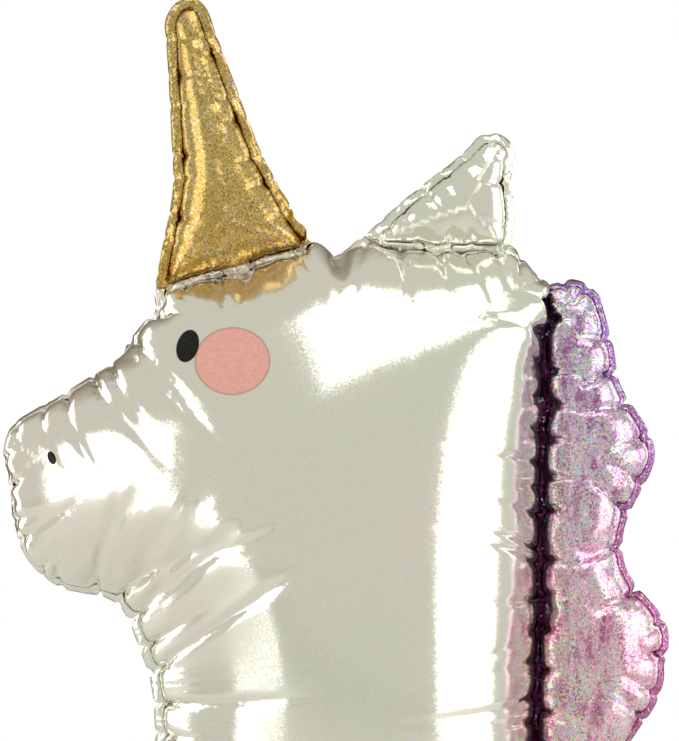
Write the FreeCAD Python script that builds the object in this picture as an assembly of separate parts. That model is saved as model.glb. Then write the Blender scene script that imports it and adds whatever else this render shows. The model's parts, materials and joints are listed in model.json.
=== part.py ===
"""Unicorn foil balloon in the shape of a figure one.

Four gas cells lie in one plane: the body with its muzzle, the horn, the ear and the mane. Each cell is a
front film and a back film that meet along a heat-sealed seam band. The horn, ear and mane hang on the body
by flat weld strips, which bend like hinges. Gas enters through a flat filling tail and a self-closing valve
at the foot, and a punched tab beside the tail holds the ribbon.

Frame: +Z up, +X towards the mane, -Y towards the printed front. The origin is the middle of the ribbon hole.
All sizes are millimetres.
"""

import FreeCAD
import Part
import math
import os

from FreeCAD import Vector

# ---- driving dimensions -------------------------------------------------------------------------------
STEM_LENGTH = 330.0  # straight part of the neck, from the foot seam to the throat
STEM_WIDTH = 303.0  # between the seams at the foot
HEAD_HEIGHT = 382.0  # from the throat to the top seam at the mane
WELD_LEAN = 18.0  # how far the mane weld leans outwards on its way up
FOOT_HEIGHT = 30.0  # the foot seam above the ribbon hole
FOOT_RADIUS = 35.0  # rounding of the foot's two corners

FILM = 1.2  # thickness of one film as drawn
SEAM_BAND = 9.0  # width of the sealed edge
WELD_BAND = 6.0  # width of the weld between two cells
HINGE_GAP = 1.0  # clear distance between a weld and the cell that swings on it
PASSAGE_WIDTH = 26.0  # gas passage left open in a weld
PASSAGE_RISE = 5.0  # height of the film tunnel over it

BODY_RISE, BODY_FALL = 173.0, 85.0  # height that a cell's film tends to, and how quickly it gets there
HORN_RISE, HORN_FALL = 34.0, 22.0
EAR_RISE, EAR_FALL = 27.0, 22.0
MANE_RISE, MANE_FALL = 50.0, 30.0

HORN_HEIGHT = 222.0  # from the middle of its base to the tip seam
EAR_HEIGHT = 85.0

VALVE_WIDTH = 26.0
VALVE_FILM = 0.5
VALVE_LENGTH = 120.0
TAIL_WIDTH = 34.0
TAIL_LENGTH = 46.0
TAIL_X = -60.0
TAIL_FILM = 0.6
TAIL_CORNER = 8.0
TAIL_GAP = 1.6  # between the seam band and the tail, which folds flat against neither

TAB_WIDTH = 24.0
TAB_FILM = 1.0
TAB_ROOT = 6.0  # how deep the tab sits in the seam band
RIBBON_HOLE_R = 2.5

# ---- places worked out from them ----------------------------------------------------------------------
THROAT = FOOT_HEIGHT + STEM_LENGTH
TOP = THROAT + HEAD_HEIGHT
STEM_LEFT = -STEM_WIDTH / 2
FOOT_RIGHT = STEM_WIDTH / 2
TOP_RIGHT = FOOT_RIGHT + WELD_LEAN
FOOT_CUT = FOOT_RADIUS * (1 - math.sqrt(0.5))  # how far a rounded corner's middle lies inside the corner
BAND_FOOT = FOOT_HEIGHT - SEAM_BAND

# Where each cell's gas passages are, as shares of the length of its hinge line.
PASSAGES = {"horn": [0.5], "ear": [0.5], "mane": [0.14, 0.38, 0.76]}

PARTS = "parts"
REACH = 2000.0  # longer than any piece
BAND_STEP = 3.0  # spacing of the points that a band's outer edge is drawn through
EDGE_LENGTH = 35.0


def weld_x(z):
    """Where the body's seam beside the mane is, at height z."""
    return FOOT_RIGHT + WELD_LEAN * (z - FOOT_HEIGHT) / (TOP - FOOT_HEIGHT)


# ---- outlines -----------------------------------------------------------------------------------------
class Side:
    """A smooth line through (x, z) points, read by a share from 0 to 1 that mostly follows the height."""

    FLAT_SHARE = 0.35  # how much a sideways step counts beside an upward one

    def __init__(self, points, flat_share=FLAT_SHARE):
        at = [0.0]
        for (x0, z0), (x1, z1) in zip(points, points[1:]):
            at.append(at[-1] + math.hypot(flat_share * (x1 - x0), z1 - z0))
        self.curve = Part.BSplineCurve()
        self.curve.interpolate(
            Points=[Vector(x, 0, z) for x, z in points],
            Parameters=[a / at[-1] for a in at],
        )

    def at(self, share):
        return self.curve.value(min(max(share, 0.0), 1.0))


def along(start, end, n):
    """n points from start to end, without the end itself."""
    return [
        (start[0] + (end[0] - start[0]) * i / n, start[1] + (end[1] - start[1]) * i / n)
        for i in range(n)
    ]


def beside(a, b, distance):
    """The line from a to b moved to its left by distance."""
    dx, dz = b[0] - a[0], b[1] - a[1]
    size = math.hypot(dx, dz)
    shift = (-dz / size * distance, dx / size * distance)
    return [(p[0] + shift[0], p[1] + shift[1]) for p in (a, b)]


# Body seam under the horn and under the ear. The hinge lines lie one weld band above them.
HORN_SEAT = [(STEM_LEFT + 3.4, TOP + 1.0), (STEM_LEFT + 120.4, TOP + 34.0)]
EAR_SEAT = [(TOP_RIGHT - 142.0, TOP + 37.0), (TOP_RIGHT - 36.0, TOP + 33.0)]
HORN_BASE = beside(*HORN_SEAT, WELD_BAND)
EAR_BASE = beside(*EAR_SEAT, WELD_BAND)
MANE_BASE = beside((weld_x(FOOT_HEIGHT), FOOT_HEIGHT), (weld_x(TOP), TOP), -WELD_BAND)


def mane_x(z):
    """Where the mane's hinge line is, at height z."""
    (x0, z0), (x1, z1) = MANE_BASE
    return x0 + (x1 - x0) * (z - z0) / (z1 - z0)


def body_sides():
    left, z = STEM_LEFT, THROAT
    profile = [
        (left + FOOT_CUT, FOOT_HEIGHT + FOOT_CUT),
        (left + 1.5, FOOT_HEIGHT + FOOT_RADIUS * 0.8),
        (left, FOOT_HEIGHT + FOOT_RADIUS * 1.5),
        (left, z - STEM_LENGTH * 0.45),
        (left, z),
        (left - 6.5, z + 62),
        (left - 19, z + 95),  # throat
        (left - 38, z + 122),
        (left - 62, z + 132),
        (left - 90, z + 137),  # chin
        (left - 112, z + 154),
        (left - 127, z + 196),  # muzzle
        (left - 133, z + 234),
        (left - 128, z + 265),  # nose
        (left - 107, z + 280),
        (left - 66, z + 305),  # bridge
        (left - 27, z + 339),
        (left - 2, z + 372),  # brow
        HORN_SEAT[0],
    ]
    top = [
        *along(*HORN_SEAT, 3),
        HORN_SEAT[1],
        (STEM_LEFT + 145, TOP + 38),
        (EAR_SEAT[0][0] - 22, TOP + 38),
        *along(*EAR_SEAT, 3),
        EAR_SEAT[1],
        (TOP_RIGHT - 16, TOP + 24),
        (TOP_RIGHT - 5, TOP + 12),
        (TOP_RIGHT, TOP),
    ]
    foot_corner = FOOT_HEIGHT + FOOT_CUT
    right = [
        (FOOT_RIGHT - FOOT_CUT, foot_corner),
        (weld_x(FOOT_HEIGHT + FOOT_RADIUS) - 0.5, FOOT_HEIGHT + FOOT_RADIUS),
        *[(weld_x(z), z) for z in (FOOT_HEIGHT + 2 * FOOT_RADIUS, THROAT, TOP - 120)],
        (TOP_RIGHT, TOP),
    ]
    bottom = [
        profile[0],
        (STEM_LEFT + FOOT_RADIUS * 0.8, FOOT_HEIGHT + 1.5),
        (STEM_LEFT + FOOT_RADIUS * 1.5, FOOT_HEIGHT),
        (TAIL_X, FOOT_HEIGHT),
        (0, FOOT_HEIGHT),
        (FOOT_RIGHT - FOOT_RADIUS * 1.5, FOOT_HEIGHT),
        (FOOT_RIGHT - FOOT_RADIUS * 0.8, FOOT_HEIGHT + 1.5),
        right[0],
    ]
    return Side(profile), Side(right), Side(bottom, 1.0), Side(top, 1.0)


def horn_sides():
    (x0, z0), (x1, z1) = HORN_BASE
    height = HORN_HEIGHT
    x, z = (x0 + x1) / 2, (z0 + z1) / 2
    tip_left = (x - 51, z + height * 0.89)
    tip_right = (x - 31, z + height * 0.91)
    left = [
        (x0, z0),
        (x - 52, z + height * 0.12),
        (x - 46.5, z + height * 0.25),
        (x - 45, z + height * 0.33),  # pinch where the cone starts
        (x - 46.5, z + height * 0.52),
        (x - 49.5, z + height * 0.75),
        tip_left,
    ]
    right = [
        (x1, z1),
        (x + 34, z + height * 0.245),
        (x + 15, z + height * 0.405),  # pinch
        (x - 10, z + height * 0.69),
        tip_right,
    ]
    tip = [
        tip_left,
        (x - 49, z + height * 0.955),
        (x - 41, z + height * 0.985),
        (x - 33, z + height * 0.96),
        tip_right,
    ]
    return Side(left), Side(right), Side(along(*HORN_BASE, 3) + [HORN_BASE[1]], 1.0), Side(tip, 1.0)


def ear_sides():
    (x0, z0), (x1, z1) = EAR_BASE
    height = EAR_HEIGHT
    tip_left = (x1 - 13, z1 + height * 1.03)
    tip_right = (x1 + 4, z1 + height * 0.88)
    left = [
        (x0, z0),
        (x0 + 19, z1 + height * 0.30),
        (x0 + 44, z1 + height * 0.55),
        (x0 + 70, z1 + height * 0.80),
        tip_left,
    ]
    right = [
        (x1, z1),
        (x1 + 4, z1 + height * 0.29),
        (x1 + 2.5, z1 + height * 0.57),
        tip_right,
    ]
    tip = [
        tip_left,
        (x1 - 3, z1 + height * 1.03),
        (x1 + 3, z1 + height * 0.97),
        tip_right,
    ]
    return Side(left), Side(right), Side(along(*EAR_BASE, 3) + [EAR_BASE[1]], 1.0), Side(tip, 1.0)


def mane_sides():
    foot, top = FOOT_HEIGHT + 10, TOP
    # Each entry is a height and how far the seam stands out from the hinge line there.
    head_scallops = [
        (THROAT - 25, 72),
        (THROAT + 35, 93),
        (THROAT + 74, 101),
        (THROAT + 96, 100),
        (THROAT + 112, 90),
        (THROAT + 142, 67),
        (THROAT + 167, 61),
        (THROAT + 189, 64),
        (THROAT + 225, 80),
        (THROAT + 244, 86),
        (THROAT + 263, 80),
        (THROAT + 299, 58),
        (THROAT + 331, 50),
        (TOP - 22, 42),
    ]
    # Two more locks on the way to the foot, as shares of the stem's length.
    stem_scallops = [
        (0.20, 55),
        (0.32, 78),
        (0.38, 80),
        (0.45, 72),
        (0.57, 56),
        (0.68, 78),
        (0.78, 96),
        (0.84, 94),
    ]
    right = [
        (mane_x(foot) + 38, foot + 12),
        *[(mane_x(z) + out, z) for z, out in ((FOOT_HEIGHT + STEM_LENGTH * s, w) for s, w in stem_scallops)],
        *[(mane_x(z) + out, z) for z, out in head_scallops],
        (mane_x(top) + 36, top - 6),
    ]
    left = [(mane_x(z), z) for z in (foot, foot + 60, THROAT, TOP - 120, top)]
    bottom = [left[0], (mane_x(foot) + 20, foot), right[0]]
    tip = [left[-1], (mane_x(top) + 18, top + 5), right[-1]]
    return Side(left), Side(right), Side(bottom, 1.0), Side(tip, 1.0)


# ---- cells --------------------------------------------------------------------------------------------
def eased(i, n):
    """Shares from 0 to 1 in n steps, closer together near both ends."""
    return (1 - math.cos(math.pi * i / n)) / 2


def film_face(sides, rise, fall, across, up):
    """The inner surface of a cell's front film: flat at the seam, and bulging towards -Y between."""
    left, right, bottom, top = sides
    corner = [left.at(0), right.at(0), left.at(1), right.at(1)]
    grid = []
    for i in range(across + 1):
        u = eased(i, across)
        row = []
        for j in range(up + 1):
            v = eased(j, up) * 0.5 + 0.5 * j / up
            l, r, b, t = left.at(v), right.at(v), bottom.at(u), top.at(u)
            p = l * (1 - u) + r * u + b * (1 - v) + t * v
            p -= corner[0] * ((1 - u) * (1 - v)) + corner[1] * (u * (1 - v))
            p -= corner[2] * ((1 - u) * v) + corner[3] * (u * v)
            if i in (0, across) or j in (0, up):
                inside = 0.0
            else:
                inside = sum(p.distanceToPoint(q) ** -2 for q in (l, r, b, t)) ** -0.5
            row.append(p + Vector(0, -rise * (1 - math.exp(-inside / fall)), 0))
        grid.append(row)
    surface = Part.BSplineSurface()
    surface.interpolate(grid)
    return surface.toShape()


def chopped(curve, start, end, length):
    """A curve as a row of edges of about the given length. Long edges with many bends measure badly."""
    n = max(2, round(curve.length(start, end) / length))
    return [
        curve.toShape(start + (end - start) * i / n, start + (end - start) * (i + 1) / n) for i in range(n)
    ]


def smooth_loop(points, step):
    """One smooth closed outline through a fine loop of points, taken every step."""
    loop = points + [points[0]]
    at = [0.0]
    for p, q in zip(loop, loop[1:]):
        at.append(at[-1] + p.distanceToPoint(q))
    n = round(at[-1] / step)
    evenly, k = [], 0
    for i in range(n):
        while at[k + 1] < at[-1] * i / n:
            k += 1
        share = (at[-1] * i / n - at[k]) / (at[k + 1] - at[k])
        evenly.append(loop[k] * (1 - share) + loop[k + 1] * share)
    curve = Part.BSplineCurve()
    curve.interpolate(Points=evenly, PeriodicFlag=True)
    return Part.Wire(chopped(curve, curve.FirstParameter, curve.LastParameter, EDGE_LENGTH))


class Cell:
    """Two films and the seam outline they share."""

    def __init__(self, sides, rise, fall, across=20, up=36):
        face = film_face(sides, rise, fall, across, up)
        self.front = face.extrude(Vector(0, -FILM, 0))
        self.back = self.front.mirror(Vector(0, 0, 0), Vector(0, 1, 0))
        self.seam = Part.Wire(Part.__sortEdges__(face.Edges))
        flat = Part.Face(self.seam)
        flat.translate(Vector(0, -REACH / 2, 0))
        self.inside_block = flat.extrude(Vector(0, REACH, 0))

    def ring(self, width):
        """The flat band round the seam, two films thick."""
        outer = smooth_loop(self.seam.makeOffset2D(width).discretize(Distance=BAND_STEP / 4), BAND_STEP)
        edges = []
        for edge in self.seam.Edges:
            edges += chopped(edge.Curve, edge.FirstParameter, edge.LastParameter, EDGE_LENGTH)
        inner = Part.Wire(Part.__sortEdges__(edges))
        flat = Part.makeFace([outer, inner], "Part::FaceMakerBullseye")
        flat.translate(Vector(0, -FILM, 0))
        return flat.extrude(Vector(0, 2 * FILM, 0))


def slab(points, half=REACH):
    """A straight block through the sheet with the given (x, z) corners."""
    loop = [Vector(x, -half, z) for x, z in points]
    return Part.Face(Part.makePolygon(loop + [loop[0]])).extrude(Vector(0, 2 * half, 0))


def side_of(line, shift, depth=REACH, ends=0.0):
    """The block on the left of a line, from shift away from it, that reaches past its ends by ends."""
    (ax, az), (bx, bz) = beside(*line, shift)
    (cx, cz), (dx, dz) = beside(*line, shift + depth)
    ux, uz = bx - ax, bz - az
    size = math.hypot(ux, uz)
    ux, uz = ux / size * ends, uz / size * ends
    return slab([(ax - ux, az - uz), (bx + ux, bz + uz), (dx + ux, dz + uz), (cx - ux, cz - uz)])


def flipped(line):
    return [line[1], line[0]]


def across_weld(line, share, shape):
    """Moves a shape drawn about the origin, with X along the hinge line, to a share of that line's length."""
    (ax, az), (bx, bz) = line
    turn = math.degrees(math.atan2(bz - az, bx - ax))
    placed = shape.copy()
    placed.rotate(Vector(0, 0, 0), Vector(0, -1, 0), turn)
    placed.translate(Vector(ax + (bx - ax) * share, 0, az + (bz - az) * share))
    return placed


def passage_slot():
    return Part.makeBox(PASSAGE_WIDTH, 4 * FILM, 3 * WELD_BAND, Vector(-PASSAGE_WIDTH / 2, -2 * FILM, -2 * WELD_BAND))


def passage_film():
    """The arched front film over a gas passage, as wide as the weld that it crosses."""
    half, low, high = PASSAGE_WIDTH / 2, -WELD_BAND, -HINGE_GAP
    arch = Part.Arc(Vector(-half, 0, low), Vector(0, -PASSAGE_RISE, low), Vector(half, 0, low))
    return arch.toShape().extrude(Vector(0, 0, high - low)).extrude(Vector(0, -FILM, 0))


# ---- foot fittings ------------------------------------------------------------------------------------
def tail_film():
    """One film of the filling tail, hanging from the seam band, with rounded lower corners."""
    half, radius = TAIL_WIDTH / 2, TAIL_CORNER
    top = BAND_FOOT - TAIL_GAP
    low = top - TAIL_LENGTH
    plate = Part.makeBox(TAIL_WIDTH, TAIL_FILM, TAIL_LENGTH, Vector(TAIL_X - half, -TAIL_FILM, low))
    corners = [e for e in plate.Edges if abs(e.CenterOfMass.z - low) < 0.01 and e.Length < 2 * TAIL_FILM]
    return plate.makeFillet(radius, corners)


def valve_film():
    """One film of the valve, from the tail's root up into the body."""
    return Part.makeBox(
        VALVE_WIDTH, VALVE_FILM, VALVE_LENGTH, Vector(TAIL_X - VALVE_WIDTH / 2, -VALVE_FILM, BAND_FOOT)
    )


def ribbon_tab():
    """The punched tab. Its foot is round about the hole."""
    half, root = TAB_WIDTH / 2, BAND_FOOT + TAB_ROOT
    plate = Part.makeBox(TAB_WIDTH, TAB_FILM, root, Vector(-half, -TAB_FILM / 2, 0))
    axis, start = Vector(0, 1, 0), Vector(0, -TAB_FILM / 2, 0)
    foot = Part.makeCylinder(half, TAB_FILM, start, axis)
    hole = Part.makeCylinder(RIBBON_HOLE_R, 3 * TAB_FILM, Vector(0, -1.5 * TAB_FILM, 0), axis)
    return plate.fuse(foot).removeSplitter().cut(hole)


def mirrored(shape):
    return shape.mirror(Vector(0, 0, 0), Vector(0, 1, 0))


# ---- assembly -----------------------------------------------------------------------------------------
def build():
    body = Cell(body_sides(), BODY_RISE, BODY_FALL, 24, 44)
    horn = Cell(horn_sides(), HORN_RISE, HORN_FALL, 14, 26)
    ear = Cell(ear_sides(), EAR_RISE, EAR_FALL, 14, 18)
    mane = Cell(mane_sides(), MANE_RISE, MANE_FALL, 14, 70)

    valve, tail, tab = valve_film(), tail_film(), ribbon_tab()
    valve_slot = Part.makeBox(
        VALVE_WIDTH, 2 * VALVE_FILM, VALVE_LENGTH, Vector(TAIL_X - VALVE_WIDTH / 2, -VALVE_FILM, BAND_FOOT)
    )
    mane_line = flipped(MANE_BASE)  # its left is the mane's side
    zones = {
        "horn": side_of(HORN_SEAT, -1.0, WELD_BAND + 4.0, 0.0),
        "ear": side_of(EAR_SEAT, -1.0, WELD_BAND + 4.0, 0.0),
        "mane": slab(
            [
                (weld_x(FOOT_HEIGHT + FOOT_RADIUS) - WELD_BAND, FOOT_HEIGHT + FOOT_RADIUS),
                (REACH, FOOT_HEIGHT + FOOT_RADIUS),
                (REACH, TOP - 2),
                (TOP_RIGHT - WELD_BAND, TOP - 2),
            ]
        ),
    }
    lines = {"horn": HORN_BASE, "ear": EAR_BASE, "mane": mane_line}
    nodes = {"body_front_film": body.front.cut(valve_slot), "body_back_film": body.back.cut(valve_slot)}
    free_ring = body.ring(SEAM_BAND)
    weld_ring = body.ring(WELD_BAND)
    for name, zone in zones.items():
        strip = weld_ring.common(zone).cut(side_of(lines[name], -HINGE_GAP, REACH, REACH))
        tunnel = []
        for share in PASSAGES[name]:
            strip = strip.cut(across_weld(lines[name], share, passage_slot()))
            front = across_weld(lines[name], share, passage_film()).cut(body.inside_block)
            tunnel += [front, mirrored(front)]
        nodes[name + "_hinge_weld"] = strip
        nodes[name + "_passage_films"] = Part.makeCompound(tunnel)
        swing = side_of(lines[name], -HINGE_GAP, 2 * SEAM_BAND, 1.5 * SEAM_BAND)
        free_ring = free_ring.cut(zone).cut(swing)
    for slot in (valve_slot, tab):
        free_ring = free_ring.cut(slot)
    nodes["body_seam_band"] = free_ring

    for name, cell in (("horn", horn), ("ear", ear), ("mane", mane)):
        nodes[name + "_front_film"] = cell.front
        nodes[name + "_back_film"] = cell.back
        nodes[name + "_seam_band"] = cell.ring(SEAM_BAND).common(side_of(lines[name], 0.8, REACH, REACH))

    nodes["valve_front_film"] = valve
    nodes["valve_back_film"] = mirrored(valve)
    nodes["tail_front_film"] = tail
    nodes["tail_back_film"] = mirrored(tail)
    nodes["ribbon_tab"] = tab
    return nodes


def main():
    os.makedirs(PARTS, exist_ok=True)
    for name, shape in build().items():
        solids = shape.Solids
        if not solids or not all(s.isValid() for s in solids):
            raise RuntimeError(name + " isn't made of valid solids")
        whole = solids[0] if len(solids) == 1 else Part.makeCompound(solids)
        whole.exportStep(os.path.join(PARTS, name + ".step"))
        box = whole.BoundBox
        sizes = ", ".join(f"{s.Volume:.0f}" for s in solids)
        print(f"{name}: solids of {sizes} mm3, Z {box.ZMin:.1f} to {box.ZMax:.1f}")


main()
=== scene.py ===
import json
import math

import bpy
import numpy as np
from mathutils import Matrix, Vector
from mathutils.bvhtree import BVHTree
from mathutils.geometry import delaunay_2d_cdt
from mathutils.kdtree import KDTree


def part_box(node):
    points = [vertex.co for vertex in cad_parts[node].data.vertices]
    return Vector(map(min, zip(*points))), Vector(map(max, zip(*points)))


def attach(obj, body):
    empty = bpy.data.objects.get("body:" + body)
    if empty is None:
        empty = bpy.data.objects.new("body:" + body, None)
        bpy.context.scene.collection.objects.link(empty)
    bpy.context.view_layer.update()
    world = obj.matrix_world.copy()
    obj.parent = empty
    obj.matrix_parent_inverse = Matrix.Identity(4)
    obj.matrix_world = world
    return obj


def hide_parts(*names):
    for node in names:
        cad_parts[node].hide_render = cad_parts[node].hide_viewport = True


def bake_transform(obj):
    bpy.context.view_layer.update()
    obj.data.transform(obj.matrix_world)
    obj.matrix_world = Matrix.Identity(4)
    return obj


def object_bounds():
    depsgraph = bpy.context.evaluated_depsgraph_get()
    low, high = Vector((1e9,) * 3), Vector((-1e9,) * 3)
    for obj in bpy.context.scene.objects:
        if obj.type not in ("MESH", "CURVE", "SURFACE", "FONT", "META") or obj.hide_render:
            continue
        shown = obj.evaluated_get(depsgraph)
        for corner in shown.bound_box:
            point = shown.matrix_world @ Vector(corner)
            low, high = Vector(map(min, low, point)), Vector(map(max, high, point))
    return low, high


# A foil balloon. Its films are cut flat, sealed together and blown up here, by a solver that
# draws every edge of the film to its cut length while gas pushes it out. Metres, in the CAD
# model's frame: +Z up, +X towards the mane, -Y towards the printed front.

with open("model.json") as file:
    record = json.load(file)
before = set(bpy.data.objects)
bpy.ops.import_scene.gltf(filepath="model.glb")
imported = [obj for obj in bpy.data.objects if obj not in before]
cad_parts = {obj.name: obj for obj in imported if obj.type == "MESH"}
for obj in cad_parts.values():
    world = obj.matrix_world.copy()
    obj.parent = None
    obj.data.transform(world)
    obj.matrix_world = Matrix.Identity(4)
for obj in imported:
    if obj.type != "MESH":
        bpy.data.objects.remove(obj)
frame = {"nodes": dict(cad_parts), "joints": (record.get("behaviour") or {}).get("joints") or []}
nodes = frame["nodes"]
cad_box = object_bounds()

CELLS = ("body", "horn", "ear", "mane")
BODY = 0
PASSAGE = 4  # the region number of the gas passages through the welds
SEALED = -1  # the region number of the sealed edge and the welds

SEAM_BAND = 0.009
SEAM_STEP = 0.001  # spacing of the points that stand for each cell's seam
TINY = 1e-12
FILM_THICKNESS = 0.00015
SEAM_THICKNESS = 0.0003

# ---- the inflation ----
LEVELS = (0.010, 0.005, 0.003)  # mesh spacings, from coarse to fine
SEED = 7
TURNS = 26  # rounds of blowing up on the coarse mesh, of TURN_STEPS each
TURN_STEPS = 25
HARD_TURNS = 10  # the first of them, which push harder
CUT_TURNS = range(5, 13)  # those that enlarge the cut film, by CUT_SHARE of what is missing
CUT_SHARE = 0.1
STIFFNESS = 0.03
PUCKER = 0.018  # spacing of the puckers along a seam
PUCKER_DEPTH = 0.014  # how far into the film they start off

# The edge of each cell: the spacing of the creases that run in from it, how far the lobes
# between them stand out, how deep the creases are, how far in they reach, from and to, the
# angle in degrees that the sealed edge folds back, and how far it waves to and fro.
EDGES = (
    (0.025, 0.0040, 0.0032, 0.030, 0.095, 68, 0.0016),
    (0.030, 0.0008, 0.0014, 0.008, 0.020, 14, 0.0034),
    (0.024, 0.0016, 0.0022, 0.012, 0.034, 30, 0.0018),
    (0.033, 0.0042, 0.0050, 0.022, 0.060, 50, 0.0020),
)
UNFOLDED_BELOW = 0.50  # the height under which the body's sealed edge lies nearly flat
FOOT_TOP = 0.04  # the height under which no edge is folded, as the tail hangs there
EDGE_SIDE_REACH = 12  # how many seam points each way give the direction out of the seam
BEND_LOOK = 22  # and how many each way show whether the outline turns inwards

rng = np.random.default_rng(SEED)


# ---- outlines ------------------------------------------------------------------------------------
def seam_loop(node, step=0.002):
    """A film's outline seen from the front, which is its seam, as a closed loop of (x, z) points."""
    mesh = nodes[node].data
    faces = [tuple(f.vertices) for f in mesh.polygons]
    tree = BVHTree.FromPolygons([v.co for v in mesh.vertices], faces)
    low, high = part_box(node)
    columns = np.arange(low.x - step, high.x + 2 * step, step)
    rows = np.arange(low.z - step, high.z + 2 * step, step)

    def covered(x, z):
        return tree.ray_cast((x, -1, z), (0, 1, 0))[0] is not None

    def crossing(inner, outer):
        for _ in range(10):
            middle = ((inner[0] + outer[0]) / 2, (inner[1] + outer[1]) / 2)
            if covered(*middle):
                inner = middle
            else:
                outer = middle
        return inner

    film = [[covered(x, z) for z in rows] for x in columns]
    links = {}
    for i in range(len(columns) - 1):
        for j in range(len(rows) - 1):
            corners = ((i, j), (i + 1, j), (i + 1, j + 1), (i, j + 1))
            on = [film[p][q] for p, q in corners]
            cut = [frozenset((corners[k], corners[k - 1])) for k in range(4) if on[k] != on[k - 1]]
            for a, b in zip(cut[::2], cut[1::2]):
                links.setdefault(a, []).append(b)
                links.setdefault(b, []).append(a)
    loops, seen = [], set()
    for first in links:
        loop, here = [], first
        while here not in seen:
            seen.add(here)
            loop.append(here)
            here = next((k for k in links[here] if k not in seen), here)
        loops.append(loop)
    points = []
    for line in max(loops, key=len):
        ends = sorted(line, key=lambda c: not film[c[0]][c[1]])
        points.append(crossing(*[(columns[p], rows[q]) for p, q in ends]))
    return np.array(points)


def spaced(loop, step):
    """A closed loop's points again, evenly spaced at about step."""
    closed = np.vstack([loop, loop[:1]])
    at = np.concatenate([[0], np.cumsum(np.hypot(*np.diff(closed, axis=0).T))])
    n = max(8, round(at[-1] / step))
    wanted = np.arange(n) * at[-1] / n
    return np.column_stack([np.interp(wanted, at, closed[:, k]) for k in (0, 1)])


def outward(loop, reach=3):
    """The direction out of an anticlockwise loop at each of its points."""
    along = np.roll(loop, -reach, axis=0) - np.roll(loop, reach, axis=0)
    return np.column_stack([along[:, 1], -along[:, 0]]) / np.hypot(*along.T)[:, None]


def anticlockwise(loop):
    x, z = loop.T
    return loop if np.sum(x * np.roll(z, -1) - np.roll(x, -1) * z) > 0 else loop[::-1]


def is_inside(loop, points):
    a, b = loop, np.roll(loop, -1, axis=0)
    rise = b[:, 1] - a[:, 1]
    rise[rise == 0] = TINY
    result = np.zeros(len(points), bool)
    batch = 4000
    for k in range(0, len(points), batch):
        p = points[k : k + batch, None]
        crosses = (a[:, 1] > p[..., 1]) != (b[:, 1] > p[..., 1])
        x = a[:, 0] + (p[..., 1] - a[:, 1]) * (b[:, 0] - a[:, 0]) / rise
        result[k : k + batch] = (crosses & (p[..., 0] < x)).sum(1) % 2 == 1
    return result


def nearest(samples, points):
    """The index of, and the distance to, the nearest sample for each point."""
    tree = KDTree(len(samples))
    for i, (x, z) in enumerate(samples):
        tree.insert((x, z, 0), i)
    tree.balance()
    found = [tree.find((x, z, 0)) for x, z in points]
    return np.array([f[1] for f in found]), np.array([f[2] for f in found])


def from_lowest(loop):
    """The same closed loop, starting at its lowest point."""
    return np.roll(loop, -np.argmin(loop[:, 1]), axis=0)


SEAMS = [
    from_lowest(spaced(anticlockwise(seam_loop(cell + "_front_film")), SEAM_STEP)) for cell in CELLS
]
SEAM_POINTS = np.vstack(SEAMS)
SEAM_CELL = np.concatenate([np.full(len(s), k) for k, s in enumerate(SEAMS)])
SEAM_FIRST = np.searchsorted(SEAM_CELL, np.arange(len(CELLS)))  # each cell's first seam point


class Hinge:
    """The straight line at a weld that a cell swings on, and the gas passages through that weld."""

    def __init__(self, cell):
        joint = next(j for j in frame["joints"] if j["name"] == cell + "_flex")
        self.at = np.array(joint["pos_m"])[[0, 2]]
        self.along = np.array(joint["axis"])[[0, 2]]
        self.across = np.array([-self.along[1], self.along[0]])
        middle = SEAMS[CELLS.index(cell)].mean(0)
        if (middle - self.at) @ self.across < 0:
            self.across = -self.across
        films = nodes[cell + "_passage_films"].data.vertices
        at, along = self.at, self.along
        spots = [(v.co.x - at[0]) * along[0] + (v.co.z - at[1]) * along[1] for v in films]
        spots = np.sort(spots)
        gaps = np.nonzero(np.diff(spots) > 0.02)[0]
        lows, highs = spots[np.concatenate([[0], gaps + 1])], spots[np.concatenate([gaps, [-1]])]
        self.passages = list(zip(lows, highs))

    def place(self, points):
        """How far along the hinge line each point is, and how far past it, towards the cell."""
        d = points - self.at
        return d @ self.along, d @ self.across

    def in_passage(self, points, depth=0.02):
        """Which points lie over the weld's gas passages."""
        along, beyond = self.place(points)
        near = (beyond < 0.003) & (beyond > -depth)
        inside = [(along > low) & (along < high) for low, high in self.passages]
        return near & np.any(inside, axis=0)


HINGES = {cell: Hinge(cell) for cell in CELLS[1:]}


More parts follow.
